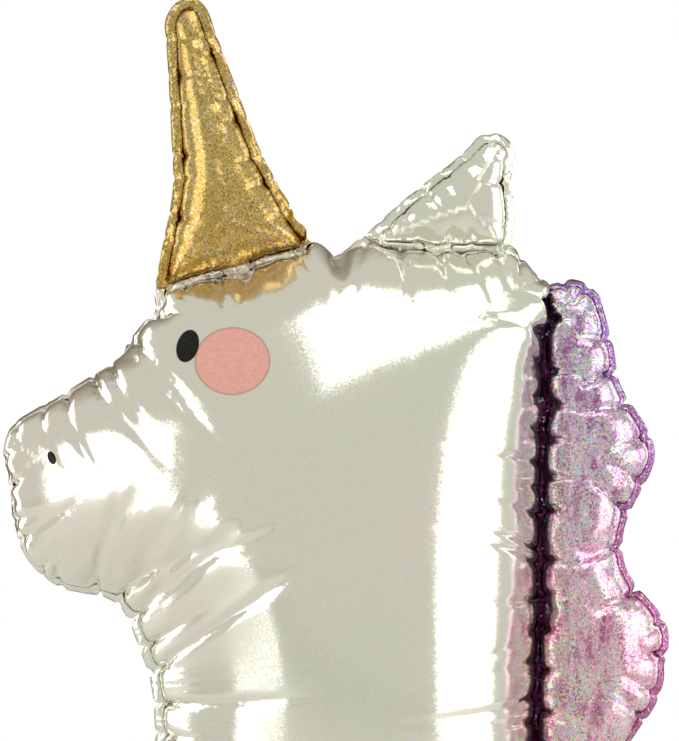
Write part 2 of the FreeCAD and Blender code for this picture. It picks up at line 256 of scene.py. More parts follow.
# ---- the flat film -------------------------------------------------------------------------------
def flat_mesh(step):
    """Points and triangles of the whole balloon lying flat, and each triangle's region."""
    seam = np.vstack([spaced(s, step) for s in SEAMS])
    edge = np.vstack([spaced(s + outward(s) * SEAM_BAND, step) for s in SEAMS])
    # Where two cells meet, one's edge would lie over the other's film.
    edge = edge[nearest(SEAM_POINTS, edge)[1] > SEAM_BAND - 0.0003]
    fixed = np.vstack([seam, edge])
    low, high = fixed.min(0), fixed.max(0)
    rows = []
    for k, z in enumerate(np.arange(low[1], high[1], step * math.sqrt(0.75))):
        x = np.arange(low[0] + (k % 2) * step / 2, high[0], step)
        rows.append(np.column_stack([x, np.full(len(x), z)]))
    lattice = np.vstack(rows)
    held = nearest(SEAM_POINTS, lattice)[1] < SEAM_BAND
    for s in SEAMS:
        held |= is_inside(spaced(s, 0.004), lattice)
    lattice = lattice[held]
    lattice = lattice[nearest(fixed, lattice)[1] > 0.68 * step]
    found = delaunay_2d_cdt([Vector(p) for p in np.vstack([fixed, lattice])], [], [], 0, 1e-7)
    points = np.array([tuple(v) for v in found[0]])
    triangles = np.array([f for f in found[2] if len(f) == 3])
    centres = points[triangles].mean(1)
    region = np.full(len(triangles), SEALED)
    for k, s in enumerate(SEAMS):
        region[is_inside(spaced(s, min(step, 0.003)), centres)] = k
    for hinge in HINGES.values():
        region[(region == SEALED) & hinge.in_passage(centres)] = PASSAGE
    a, b, c = (points[triangles[:, k]] for k in range(3))
    turn = (b[:, 0] - a[:, 0]) * (c[:, 1] - a[:, 1]) - (c[:, 0] - a[:, 0]) * (b[:, 1] - a[:, 1])
    triangles[turn < 0] = triangles[turn < 0][:, ::-1]
    near = nearest(SEAM_POINTS, centres)[1] < SEAM_BAND
    smallest = 2e-9  # twice the area of a sliver, which is left out
    keep = ((region != SEALED) | near) & (np.abs(turn) > smallest)
    triangles, region = triangles[keep], region[keep]
    used = np.zeros(len(points), bool)
    used[triangles] = True
    return points[used], (np.cumsum(used) - 1)[triangles], region


def unique_edges(triangles):
    edges = np.vstack([triangles[:, [0, 1]], triangles[:, [1, 2]], triangles[:, [2, 0]]])
    edges.sort(1)
    return np.unique(edges, axis=0)


class Film:
    """Two layers of film over one flat mesh, sealed together wherever a sealed triangle touches.

    Positions are lists of three arrays, x, y and z, because that is quick to work with. Vertices
    from 0 to count - 1 are the flat mesh's own, and serve the front layer and the seal. The rest
    are the back layer's.
    """

    def __init__(self, step):
        self.points, self.triangles, self.region = flat_mesh(step)
        self.count = len(self.points)
        gas = self.region != SEALED
        in_cell = np.zeros(self.count, bool)
        in_cell[self.triangles[gas]] = True
        sealed = np.zeros(self.count, bool)
        sealed[self.triangles[~gas]] = True
        self.seam = in_cell & sealed
        self.loose = in_cell & ~sealed
        self.back = np.arange(self.count)
        self.back[self.loose] = self.count + np.arange(self.loose.sum())
        self.flat_index = np.concatenate([np.arange(self.count), np.nonzero(self.loose)[0]])
        self.total = len(self.flat_index)
        front, back = self.triangles[gas], self.back[self.triangles[gas]][:, ::-1]
        self.edges = unique_edges(np.vstack([self.triangles, back]))
        self.a, self.b = (np.ascontiguousarray(self.edges[:, k]) for k in (0, 1))
        self.ends = np.concatenate([self.a, self.b])
        self.degree = np.bincount(self.ends, minlength=self.total)
        self.pushed = [np.ascontiguousarray(np.vstack([front, back])[:, k]) for k in range(3)]
        self.pushed_all = np.concatenate(self.pushed)
        self.flat_edges = unique_edges(self.triangles)
        self.cut(self.points)

    def cut(self, flat):
        """Sets the shape that the film is cut to."""
        self.flat = flat
        spread = flat[self.flat_index]
        self.length = np.hypot(*(spread[self.a] - spread[self.b]).T)

    def pressure(self, x):
        a, b, c = self.pushed
        u = [q[b] - q[a] for q in x]
        v = [q[c] - q[a] for q in x]
        normal = [
            u[1] * v[2] - u[2] * v[1],
            u[2] * v[0] - u[0] * v[2],
            u[0] * v[1] - u[1] * v[0],
        ]
        return [np.bincount(self.pushed_all, np.tile(n / 6, 3), self.total) for n in normal]

    def gather(self, along):
        """Sums, at each vertex, what each edge gives to its one end and takes from its other."""
        return np.bincount(self.ends, np.concatenate([along, -along]), self.total)

    def curl(self, x):
        """How far each vertex is from the middle of its neighbours."""
        gaps = [q[self.b] - q[self.a] for q in x]
        return [self.gather(g) / self.degree for g in gaps]

    def inflate(self, x, speed, steps, push, damp, bend, squeeze=1.0, level=0.0):
        """Blows the film up from x, and gives its new state and speed.

        push is the gas pressure, damp the share of the speed that is kept, bend the stiffness
        against curling, squeeze how much of its strength the film has against being shortened,
        and level how strongly the seams are drawn to their plane.
        """
        share = 0.85 / self.degree
        for _ in range(steps):
            old = x
            force = self.pressure(x)
            x = [q + v * damp + f * push for q, v, f in zip(x, speed, force)]
            for _ in range(2):
                gap = [q[self.b] - q[self.a] for q in x]
                size = np.sqrt(sum(g * g for g in gap)) + TINY
                pull = 1 - self.length / size
                if squeeze < 1:
                    pull = np.where(pull < 0, pull * squeeze, pull)
                for k in range(3):
                    x[k] = x[k] + self.gather(pull * gap[k]) * share
            stiff = self.curl(self.curl(x))
            x = [q - bend * s for q, s in zip(x, stiff)]
            if level:
                x[1][: self.count][self.seam] *= 1 - level
            speed = [q - o for q, o in zip(x, old)]
        return x, speed

    def spread_out(self, moves, held, start, rounds):
        """Carries the moves of the held vertices smoothly over the whole flat mesh."""
        a, b = self.flat_edges.T
        degree = np.bincount(self.flat_edges.ravel(), minlength=self.count)
        moves, result = moves.copy(), start.copy()
        result[held] = moves[held]
        for _ in range(rounds):
            for k in (0, 1):
                total = np.bincount(a, result[b, k], self.count)
                total = total + np.bincount(b, result[a, k], self.count)
                result[:, k] = np.where(held, moves[:, k], total / degree)
        return result

    def shares_in(self, other):
        """Where this mesh's points are in another: a triangle's corners, and the share of each."""
        tree = BVHTree.FromPolygons([(x, z, 0) for x, z in other.points], other.triangles.tolist())
        triangle = np.array([tree.find_nearest((x, z, 0))[2] for x, z in self.points])
        corners = other.triangles[triangle]
        a, b, c = (other.points[corners[:, k]] for k in range(3))
        u, v, w = b - a, c - a, self.points - a
        whole = u[:, 0] * v[:, 1] - v[:, 0] * u[:, 1]
        s = (w[:, 0] * v[:, 1] - v[:, 0] * w[:, 1]) / whole
        t = (u[:, 0] * w[:, 1] - w[:, 0] * u[:, 1]) / whole
        return corners, np.column_stack([1 - s - t, s, t])

    def take_over(self, other, x):
        """Starts from a coarser film's state."""
        corners, shares = self.shares_in(other)
        self.cut((other.flat[corners] * shares[..., None]).sum(1))
        loose = np.nonzero(self.loose)[0]
        result = []
        for q in x:
            front = (q[corners] * shares).sum(1)
            back = (q[other.back[corners[loose]]] * shares[loose]).sum(1)
            result.append(np.concatenate([front, back]))
        return result


def still(film):
    return [np.zeros(film.total) for _ in range(3)]


def start_flat(film):
    """The two films a little apart, and slightly uneven so that they can crumple."""
    apart, uneven = 0.004, 0.0002
    spread = film.flat[film.flat_index]
    side = np.where(np.arange(film.total) < film.count, -1.0, 1.0)
    y = np.where(film.loose[film.flat_index], side * apart, 0) + rng.normal(0, uneven, film.total)
    return [spread[:, 0].copy(), y, spread[:, 1].copy()]


def seam_offset(film, x):
    """How far each vertex of the flat mesh is from where the CAD model has it."""
    return film.points - np.column_stack([x[0][: film.count], x[2][: film.count]])


def pucker(film, x):
    """Starts puckers along the seams, as deep as the film's shortening there calls for."""
    index, away = nearest(SEAM_POINTS, film.points)
    cell = SEAM_CELL[index]
    flat_seam = np.nonzero(film.seam)[0]
    edges = film.flat_edges
    along = edges[film.seam[edges[:, 0]] & film.seam[edges[:, 1]]]
    now = np.sqrt(sum((q[along[:, 0]] - q[along[:, 1]]) ** 2 for q in x))
    cut = np.hypot(*(film.flat[along[:, 0]] - film.flat[along[:, 1]]).T)
    spare = np.bincount(along.ravel(), np.repeat(1 - now / cut, 2), film.count)
    spare /= np.maximum(np.bincount(along.ravel(), minlength=film.count), 1)
    # Average the shortening over a stretch of seam, and give it to the film beside that stretch.
    tree = KDTree(len(flat_seam))
    for i in flat_seam:
        tree.insert((*film.points[i], 0), int(i))
    tree.balance()
    smooth = np.zeros(film.count)
    for i in np.nonzero(away < 3 * PUCKER_DEPTH)[0]:
        near = tree.find_range((*film.points[i], 0), max(0.015, away[i] * 1.2))
        if near:
            smooth[i] = np.mean([spare[n[1]] for n in near])
    place = index - SEAM_FIRST[cell]
    length = np.array([len(s) for s in SEAMS])[cell] * SEAM_STEP
    turns = np.round(length / PUCKER)
    # Two slow waves keep the puckers from being evenly spaced.
    slow = 0.35 * np.sin(place * SEAM_STEP * 23.0 + cell)
    drift = slow + 0.25 * np.sin(place * SEAM_STEP * 61.0 + 2 * cell)
    wave = np.cos(2 * np.pi * turns * place * SEAM_STEP / length + 2 * np.pi * drift)
    size = PUCKER / np.pi * np.sqrt(np.clip(smooth, 0, 0.2)) * np.exp(-away / PUCKER_DEPTH)
    normals = np.vstack([outward(s) for s in SEAMS])[index]
    move = (wave * size)[:, None] * normals
    spread = move[film.flat_index]
    lift = (wave * size)[film.flat_index] * np.sign(x[1]) * film.loose[film.flat_index]
    return [x[0] + spread[:, 0], x[1] + 0.7 * lift, x[2] + spread[:, 1]]


def seam_average(film, moves, reach):
    """The moves of the seam's vertices, averaged over about reach each way, at each seam point."""
    seam = np.nonzero(film.seam)[0]
    index = nearest(SEAM_POINTS, film.points[seam])[0]
    result = np.zeros_like(SEAM_POINTS)
    for k in range(len(CELLS)):
        first, count = SEAM_FIRST[k], len(SEAMS[k])
        mine = SEAM_CELL[index] == k
        place = index[mine] - first
        order = np.argsort(place)
        soften = np.exp(-2 * (np.pi * reach * np.fft.rfftfreq(count, SEAM_STEP)) ** 2)
        for axis in (0, 1):
            known = moves[seam[mine]][order, axis]
            even = np.interp(np.arange(count), place[order], known, period=count)
            softened = np.fft.irfft(np.fft.rfft(even) * soften, count)
            result[first : first + count, axis] = softened
    return result


def back_to_outline(film, x, coarse):
    """Moves the seams in their own plane to the CAD model's outline, and keeps the puckers."""
    average = seam_average(film, seam_offset(film, x), 0.012)
    moves = average[nearest(SEAM_POINTS, coarse.points)[0]]
    moves = coarse.spread_out(moves, coarse.seam, np.zeros_like(moves), 400)
    corners, shares = film.shares_in(coarse)
    start = (moves[corners] * shares[..., None]).sum(1)
    fine = average[nearest(SEAM_POINTS, film.points)[0]]
    spread = film.spread_out(fine, film.seam, start, 40)[film.flat_index]
    return [x[0] + spread[:, 0], x[1], x[2] + spread[:, 1]]


def vertex_normals(film, x):
    """The direction out of the film at each vertex, on both layers."""
    gas = film.region != SEALED
    faces = np.vstack([film.triangles, film.back[film.triangles[gas]][:, ::-1]])
    points = np.column_stack(x)
    a, b, c = (points[faces[:, k]] for k in range(3))
    across = np.cross(b - a, c - a)
    result = np.zeros_like(points)
    for k in range(3):
        for axis in range(3):
            result[:, axis] += np.bincount(faces[:, k], across[:, axis], film.total)
    return result / (np.linalg.norm(result, axis=1)[:, None] + TINY)


def crease(film, x):
    """Adds the creases at the seams and the lobes between them, and folds the sealed edge back."""
    index, away = nearest(SEAM_POINTS, film.points)
    in_gas = np.zeros(film.count, bool)
    in_gas[film.triangles[film.region != SEALED]] = True
    beyond = np.where(in_gas, 0, away)[film.flat_index]
    deep = np.where(in_gas, away, 0)[film.flat_index]
    index = index[film.flat_index]
    side = np.vstack([outward(s, EDGE_SIDE_REACH) for s in SEAMS])[index]
    side = np.column_stack([side[:, 0], np.zeros(film.total), side[:, 1]])
    # Near a weld the two cells hold each other, so the edge isn't folded and the lobes are low.
    others = np.column_stack([nearest(s, SEAM_POINTS)[1] for s in SEAMS])
    others[np.arange(len(SEAM_POINTS)), SEAM_CELL] = 1
    held, easing = 0.008, 0.012  # held within this much of another cell, free that much further
    free = np.clip((others.min(1) - held) / easing, 0, 1)[index]
    # Nor is it folded at the foot, which the tail hangs from.
    free *= np.clip((film.points[film.flat_index, 1] - FOOT_TOP) / 0.03, 0, 1)
    height, sway, fold = np.zeros(film.total), np.zeros(film.total), np.zeros(film.total)
    draw = np.random.default_rng(SEED + 1)
    for k, (spacing, lobe_height, depth, short, long, folded, wave) in enumerate(EDGES):
        mine = np.nonzero(SEAM_CELL[index] == k)[0]
        place = (index[mine] - SEAM_FIRST[k]) * SEAM_STEP
        length = len(SEAMS[k]) * SEAM_STEP
        number = round(length / spacing)
        at = (np.arange(number) + draw.uniform(-0.32, 0.32, number)) * length / number
        strength = draw.uniform(0.4, 1.0, number)
        reach = draw.uniform(short, long, number)
        lean = draw.uniform(-0.3, 0.3, number)
        # Where the outline turns inwards, as under the chin, creases are deeper and run further in.
        sides = outward(SEAMS[k], EDGE_SIDE_REACH)
        looks = (-BEND_LOOK, BEND_LOOK)
        before, after = (sides[(at / SEAM_STEP + n).astype(int) % len(sides)] for n in looks)
        hollow = np.clip((before[:, 1] * after[:, 0] - before[:, 0] * after[:, 1]) / 0.25, 0, 1)
        strength += 0.7 * hollow
        reach *= 1 + 0.5 * hollow
        d = deep[mine]
        for c in range(number):
            aside = (place - at[c] - lean[c] * d + length / 2) % length - length / 2
            line = np.exp(-((aside / (0.0021 + 0.012 * d)) ** 2)) * np.exp(-((d / reach[c]) ** 3))
            height[mine] -= depth * strength[c] * line
            sway[mine] += (1 if c % 2 else -1) * wave * np.exp(-((aside / 0.006) ** 2))
        ends = np.append(at - at[0], length)
        turn = np.interp((place - at[0]) % length, ends, np.arange(number + 1))
        lobe = np.sqrt(np.abs(np.sin(np.pi * turn))) - 0.5
        rise = 0.45 * np.exp(-d / 0.006) + (d / 0.009) * np.exp(1 - d / 0.009)
        height[mine] += lobe_height * lobe * rise * (0.55 + 0.45 * free[mine])
        fold[mine] = math.radians(folded) * free[mine] * (0.85 + 0.3 * lobe)
        if k == BODY:
            up = film.points[film.flat_index[mine], 1] - UNFOLDED_BELOW
            fold[mine] *= np.clip(up / 0.05 + 1, 0.3, 1)
    normal = vertex_normals(film, x)
    share = np.exp(-deep / 0.004)[:, None]
    way = normal * (1 - share) + side * share
    way /= np.linalg.norm(way, axis=1)[:, None] + TINY
    move = way * height[:, None] - side * (beyond * (1 - np.cos(fold)))[:, None]
    move[:, 1] += np.where(deep == 0, free * sway, 0) + beyond * np.sin(fold)
    return [q + move[:, k] for k, q in enumerate(x)]


def blow_up():
    """Blows the balloon up, first on a coarse mesh and then on finer ones."""
    film = coarse = Film(LEVELS[0])
    x, speed = start_flat(film), still(film)
    grown = np.zeros_like(film.points)
    for turn in range(TURNS):
        push = 0.2 if turn < HARD_TURNS else 0.1
        x, speed = film.inflate(x, speed, TURN_STEPS, push, 0.98, STIFFNESS, 0.5, level=0.05)
        gap = seam_offset(film, x)
        middle = gap[film.seam].mean(0)
        x[0], x[2] = x[0] + middle[0], x[2] + middle[1]
        if turn in CUT_TURNS:
            # Cut the film a little larger where it has drawn in from the CAD outline.
            grown = film.spread_out(gap - middle, film.seam, grown, 80)
            film.cut(film.flat + CUT_SHARE * grown)
    for step in LEVELS[1:]:
        finer = Film(step)
        x = finer.take_over(film, x)
        film = finer
        last = step == LEVELS[-1]
        if last:
            x = pucker(film, x)
        rounds, squeeze = (300, 1.0) if last else (200, 0.6)
        x, speed = film.inflate(x, still(film), rounds, 0.12, 0.96, STIFFNESS, squeeze)
    return film, back_to_outline(film, x, coarse)


film, x = blow_up()
x = crease(film, x)


# ---- materials -----------------------------------------------------------------------------------
class Shade:
    """A material's nodes, made one call at a time. Sizes are in metres."""

    def __init__(self, name, **values):
        self.material = bpy.data.materials.new(name)
        self.material.use_nodes = True
        self.tree = self.material.node_tree
        self.surface = self.tree.nodes["Principled BSDF"]
        for socket, value in values.items():
            self.surface.inputs[socket.replace("_", " ")].default_value = value
        self.place = self.node("ShaderNodeTexCoord").outputs["Object"]
        self.normal = self.node("ShaderNodeNewGeometry").outputs["Normal"]

    def node(self, kind, *links, **settings):
        made = self.tree.nodes.new(kind)
        for key, value in settings.items():
            setattr(made, key, value)
        for socket, value in links:
            self.join(value, made.inputs[socket])
        return made

    def join(self, value, socket):
        if isinstance(value, bpy.types.NodeSocket):
            self.tree.links.new(value, socket)
        else:
            socket.default_value = value

    def math(self, operation, *values):
        return self.node("ShaderNodeMath", *enumerate(values), operation=operation).outputs[0]

    def vector(self, operation, *values):
        made = self.node("ShaderNodeVectorMath", *enumerate(values), operation=operation)
        return made.outputs[0]

    def mix(self, share, a, b):
        """Colour a where share is 0, and colour b where it is 1."""
        made = self.node("ShaderNodeMix", (0, share), (6, a), (7, b), data_type="RGBA")
        return made.outputs[2]

    def noise(self, size, detail=2.0, seed=0.0):
        place = self.vector("ADD", self.place, (seed, 0, 0))
        links = [("Vector", place), ("Scale", 1 / size), ("Detail", detail)]
        return self.node("ShaderNodeTexNoise", *links).outputs["Fac"]

    def flakes(self, size):
        """A random colour for each flake of a glitter."""
        links = [("Vector", self.place), ("Scale", 1 / size)]
        return self.node("ShaderNodeTexVoronoi", *links).outputs["Color"]

    def rainbow(self, hue, *rest):
        parts = enumerate((hue, *rest))
        return self.node("ShaderNodeCombineColor", *parts, mode="HSV").outputs[0]

    def ramp(self, value, *stops):
        made = self.node("ShaderNodeValToRGB", (0, value))
        points = made.color_ramp.elements
        while len(points) < len(stops):
            points.new(0.5)
        for point, (at, colour) in zip(points, stops):
            point.position = at
            point.color = (*colour, 1)
        return made.outputs[0]

    def step(self, value, low, high):
        """0 below low, 1 above high and even between them."""
        ends = ((0, value), (1, low), (2, high))
        return self.node("ShaderNodeMapRange", *ends).outputs[0]

    def oval(self, centre, half, turn, edge):
        """1 inside an ellipse drawn on the x-z plane, and 0 outside it, over a soft edge."""
        split = self.node("ShaderNodeSeparateXYZ", (0, self.place)).outputs
        x, z = self.math("SUBTRACT", split[0], centre[0]), self.math("SUBTRACT", split[2], centre[1])
        c, s = math.cos(math.radians(turn)), math.sin(math.radians(turn))

        def times(value, factor):
            return self.math("MULTIPLY", value, factor)

        across = self.math("ADD", times(x, c / half[0]), times(z, s / half[0]))
        up = self.math("SUBTRACT", times(z, c / half[1]), times(x, s / half[1]))
        squares = [self.math("POWER", value, 2.0) for value in (across, up)]
        reach = self.math("SQRT", self.math("ADD", *squares))
        return self.step(reach, 1 + edge, 1 - edge)

    def glitter(self, size, tilt):
        """Tips each flake a little its own way, so that the edges of reflections sparkle."""
        tip = self.vector("SUBTRACT", self.flakes(size), (0.5, 0.5, 0.5))
        tipped = self.vector("ADD", self.normal, self.vector("MULTIPLY", tip, (tilt, tilt, tilt)))
        return self.vector("NORMALIZE", tipped)

    def ribbed(self, normal, spacing=0.0056, depth=0.00009, reach=0.028):
        """Adds the fine ribs of gathered film beside a seam to a normal."""
        place = self.node("ShaderNodeAttribute", attribute_name="seam_place").outputs["Fac"]
        away = self.node("ShaderNodeAttribute", attribute_name="seam_away").outputs["Fac"]
        wave = self.math("SINE", self.math("MULTIPLY", place, 2 * math.pi / spacing))
        fade = self.math("EXPONENT", self.math("MULTIPLY", away, -1 / reach))
        patches = self.step(self.noise(0.03), 0.35, 0.6)
        height = self.math("MULTIPLY", self.math("MULTIPLY", wave, fade), patches)
        links = [("Height", height), ("Normal", normal), ("Distance", depth)]
        return self.node("ShaderNodeBump", *links).outputs[0]

    def finish(self, colour, roughness=None, normal=None):
        self.join(colour, self.surface.inputs["Base Color"])
        if roughness is not None:
            self.join(roughness, self.surface.inputs["Roughness"])
        if normal is not None:
            self.join(normal, self.surface.inputs["Normal"])
        return self.material


def pearl(name, printed=False):
    """Pearl-white holographic film: fine dashes and specks that tint and tip the mirror."""
    shade = Shade(name, Specular_IOR_Level=0.2)
    metal = 0.95
    tint = shade.ramp(
        shade.noise(0.16, 1.0),
        (0.30, (0.86, 0.89, 0.78)),
        (0.50, (0.90, 0.89, 0.80)),
        (0.70, (0.95, 0.87, 0.81)),
    )
    speck = shade.node("ShaderNodeSeparateColor", (0, shade.flakes(0.0013))).outputs
    rainbow = shade.rainbow(speck[0], 0.22, 0.97)
    colour = shade.mix(shade.step(speck[2], 0.62, 0.9), tint, shade.mix(0.55, tint, rainbow))
    rough = shade.math("ADD", 0.09, shade.math("MULTIPLY", speck[1], 0.07))
    if printed:
        for mark, centre, half, turn, ink in PRINTS:
            mask = shade.oval(centre, half, turn, 0.03)
            inner = shade.oval(centre, (half[0] * 0.965, half[1] * 0.965), turn, 0.02)
            lighter = tuple(min(1, c * 1.25 + 0.01) for c in ink)
            dots = shade.ramp(speck[0], (0.0, ink), (1.0, lighter))
            rim = tuple(c * 0.62 for c in ink)
            colour = shade.mix(mask, colour, shade.mix(inner, (*rim, 1), dots))
            hidden = 0.5 if mark == "cheek" else 0.93  # how much of the metal the ink hides
            metal = shade.math("SUBTRACT", metal, shade.math("MULTIPLY", mask, hidden))
    shade.join(metal, shade.surface.inputs["Metallic"])
    return shade.finish(colour, rough, shade.ribbed(shade.glitter(0.0011, 0.03)))


def glittered(name, stops, low, high, flake, tilt, bright, rainbow_share, pale_share=0.0):
    """Glitter film whose colour runs through the stops from the height low to high.

    Flakes are bright, dark or coloured. pale_share is how much of the film lies in paler streaks.
    """
    shade = Shade(name, Metallic=0.96, Specular_IOR_Level=0.6)
    height = shade.node("ShaderNodeSeparateXYZ", (0, shade.place)).outputs[2]
    height = shade.math("ADD", height, shade.math("MULTIPLY", shade.noise(0.05, 2.0), 0.05))
    base = shade.ramp(shade.step(height, low, high), *stops)
    if pale_share:
        streak = shade.vector("MULTIPLY", shade.place, (1, 1, 0.3))
        links = [("Vector", streak), ("Scale", 90.0), ("Detail", 5.0), ("Roughness", 0.65)]
        patch = shade.node("ShaderNodeTexNoise", *links).outputs["Fac"]
        pale = shade.mix(0.62, base, (1.0, 0.86, 0.93, 1))
        base = shade.mix(shade.step(patch, 0.56 - 0.2 * pale_share, 0.60), base, pale)
        deep = shade.mix(0.6, base, (0.42, 0.05, 0.26, 1))
        base = shade.mix(shade.step(patch, 0.49, 0.40), base, deep)
    speck = shade.node("ShaderNodeSeparateColor", (0, shade.flakes(flake))).outputs
    hue = shade.math("FRACT", shade.math("MULTIPLY", speck[0], 17.0))
    rainbow = shade.rainbow(hue, 0.5, 1.0)
    colour = shade.mix(shade.step(speck[2], 0.75, 1.0), base, bright)
    dark = shade.mix(0.55, colour, (0.02, 0.012, 0.004, 1))
    colour = shade.mix(shade.step(speck[1], 0.45, 0.0), colour, dark)
    cluster = shade.step(shade.noise(0.025, 3.0, 4.0), 0.40, 0.56)
    chosen = shade.step(speck[0], 1 - rainbow_share, 1 - rainbow_share + 0.02)
    colour = shade.mix(shade.math("MULTIPLY", cluster, chosen), colour, rainbow)
    rough = shade.math("ADD", 0.10, shade.math("MULTIPLY", speck[1], 0.14))
    return shade.finish(colour, rough, shade.ribbed(shade.glitter(flake, tilt)))


# Printed marks on the front film: the middle and the half sizes, in x and z, the turn in
# degrees, and the ink.
PRINTS = (
    ("cheek", (-0.0920, 0.6835), (0.0315, 0.0280), 0, (0.90, 0.43, 0.38)),
    ("eye", (-0.1297, 0.6960), (0.0094, 0.0139), -15, (0.004, 0.003, 0.004)),
    ("nostril", (-0.2443, 0.6025), (0.0034, 0.0057), 25, (0.004, 0.003, 0.004)),
)

GOLD = ((0.0, (0.66, 0.38, 0.07)), (0.5, (0.68, 0.47, 0.14)), (1.0, (0.64, 0.45, 0.14)))
MANE_PRINT = (
    (0.00, (0.95, 0.42, 0.58)),
    (0.45, (0.93, 0.42, 0.64)),
    (0.75, (0.76, 0.44, 0.76)),
    (1.00, (0.55, 0.38, 0.80)),
)
# The mane's sealed edge: the mane's print, darkened as painted shade for an edge that turns away
# into shadow.
EDGE_PRINT_AND_SHADE = ((0.0, (0.62, 0.14, 0.34)), (0.6, (0.55, 0.16, 0.46)), (1.0, (0.38, 0.18, 0.58)))
# Near-black plum for the mane's weld, which lies in the valley between the body and the mane.
VALLEY_NEAR_BLACK = ((0.0, (0.10, 0.01, 0.06)), (1.0, (0.05, 0.008, 0.05)))

BRIGHT_GOLD, PALE, DARK = (0.90, 0.72, 0.38, 1), (1.0, 0.84, 0.93, 1), (0.2, 0.05, 0.15, 1)
HORN_HEIGHTS, MANE_HEIGHTS = (0.74, 0.99), (0.25, 0.74)

pearl_front = pearl("pearl_printed", printed=True)
pearl_plain = pearl("pearl")
gold = glittered("gold_glitter", GOLD, *HORN_HEIGHTS, 0.0012, 0.07, BRIGHT_GOLD, 0.08)
mane_print = glittered("mane_glitter", MANE_PRINT, *MANE_HEIGHTS, 0.0013, 0.11, PALE, 0.5, 0.5)
# The mane's sealed edge: print with painted shade.
mane_edge = glittered("mane_edge_print_and_shade", EDGE_PRINT_AND_SHADE, *MANE_HEIGHTS, 0.0013, 0.12, PALE, 0.10)
# The mane's weld, near-black plum.
valley = glittered("valley_near_black", VALLEY_NEAR_BLACK, *MANE_HEIGHTS, 0.0013, 0.10, DARK, 0.05)
gas_film = Shade("clear_film", Roughness=0.2, Alpha=0.35, Transmission_Weight=0.6)
haze = gas_film.ramp(gas_film.noise(0.02), (0.3, (0.85, 0.88, 0.9)), (0.7, (0.92, 0.94, 0.95)))
clear = gas_film.finish(haze, gas_film.math("MULTIPLY", gas_film.noise(0.004), 0.4))

# Each cell's materials on its front, back and sealed edge, and its slot in the record.
FILMS = {
    "body": (pearl_front, pearl_plain, pearl_plain, "pearl_film"),
    "horn": (gold, gold, gold, "gold_film"),
    "ear": (pearl_plain, pearl_plain, pearl_plain, "pearl_film"),
    "mane": (mane_print, mane_print, mane_edge, "mane_film"),
}
WELDS = {
    "horn": (pearl_plain, "pearl_film"),
    "ear": (pearl_plain, "pearl_film"),
    "mane": (valley, "mane_film"),
}


# ---- pieces --------------------------------------------------------------------------------------
# How far along its seam, and how far from it, each vertex of the film is, for the ribs.
seam_index, seam_away = nearest(SEAM_POINTS, film.points)
seam_place = (seam_index - SEAM_FIRST[SEAM_CELL[seam_index]]) * SEAM_STEP
BESIDE_SEAM = {
    "seam_place": seam_place[film.flat_index],
    "seam_away": seam_away[film.flat_index],
}


def solid_film(name, triangles, thickness, offset):
    """A closed sheet of film over some of the balloon's triangles.

    offset is the share of its thickness that lies outside them.
    """
    used, faces = np.unique(triangles, return_inverse=True)
    faces = faces.reshape(-1, 3)
    points = np.column_stack([q[used] for q in x])
    a, b, c = (points[faces[:, k]] for k in range(3))
    normal = np.zeros_like(points)
    for k in range(3):
        np.add.at(normal, faces[:, k], np.cross(b - a, c - a))
    normal /= np.linalg.norm(normal, axis=1)[:, None] + TINY
    outer = points + normal * thickness * offset
    inner = points + normal * thickness * (offset - 1)
    n = len(points)
    sides = np.vstack([faces[:, [0, 1]], faces[:, [1, 2]], faces[:, [2, 0]]])
    ordered = np.sort(sides, axis=1)
    keys = ordered[:, 0] * n + ordered[:, 1]
    _, first, count = np.unique(keys, return_index=True, return_counts=True)
    rim = sides[first[count == 1]]
    walls = np.vstack([
        np.column_stack([rim[:, 1], rim[:, 0], rim[:, 0] + n]),
        np.column_stack([rim[:, 1], rim[:, 0] + n, rim[:, 1] + n]),
    ])
    mesh = bpy.data.meshes.new(name)
    everything = np.vstack([faces, faces[:, ::-1] + n, walls])
    mesh.from_pydata(np.vstack([outer, inner]).tolist(), [], everything.tolist())
    smooth = np.ones(len(everything), bool)
    smooth[2 * len(faces) :] = False
    mesh.polygons.foreach_set("use_smooth", smooth)
    for key, values in BESIDE_SEAM.items():
        layer = mesh.attributes.new(key, "FLOAT", "POINT")
        layer.data.foreach_set("value", np.tile(values[used], 2).astype(np.float32))
    mesh.update()
    made = bpy.data.objects.new(name, mesh)
    bpy.context.collection.objects.link(made)
    return made


def settle(made, cell, material, slot, *cad):
    """Gives a piece its film and hides the CAD nodes that it stands for; a piece of the body is hung
    on the body.
    """
    made.data.materials.append(material)
    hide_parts(*cad)
    if cell == "body":
        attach(made, "body")
        return
    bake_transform(made)


def split_sealed():
    """The sealed triangles, the cell that each is nearest to, and the weld that it is in, or 0."""
    sealed = np.nonzero(film.region == SEALED)[0]
    centres = film.points[film.triangles[sealed]].mean(1)
    away = np.column_stack([nearest(s, centres)[1] for s in SEAMS])
    owner = np.argmin(away, axis=1)
    weld = np.zeros(len(sealed), int)
    for k, cell in enumerate(CELLS[1:], 1):
        along, beyond = HINGES[cell].place(centres)
        root = HINGES[cell].place(SEAMS[k])[0]
        low, high = root.min(), root.max()
        inside = (beyond < 0.002) & (beyond > -0.012) & (along > low) & (along < high)
        weld[inside & (away[:, 0] < SEAM_BAND) & (away[:, k] < SEAM_BAND)] = k
    return sealed, owner, weld


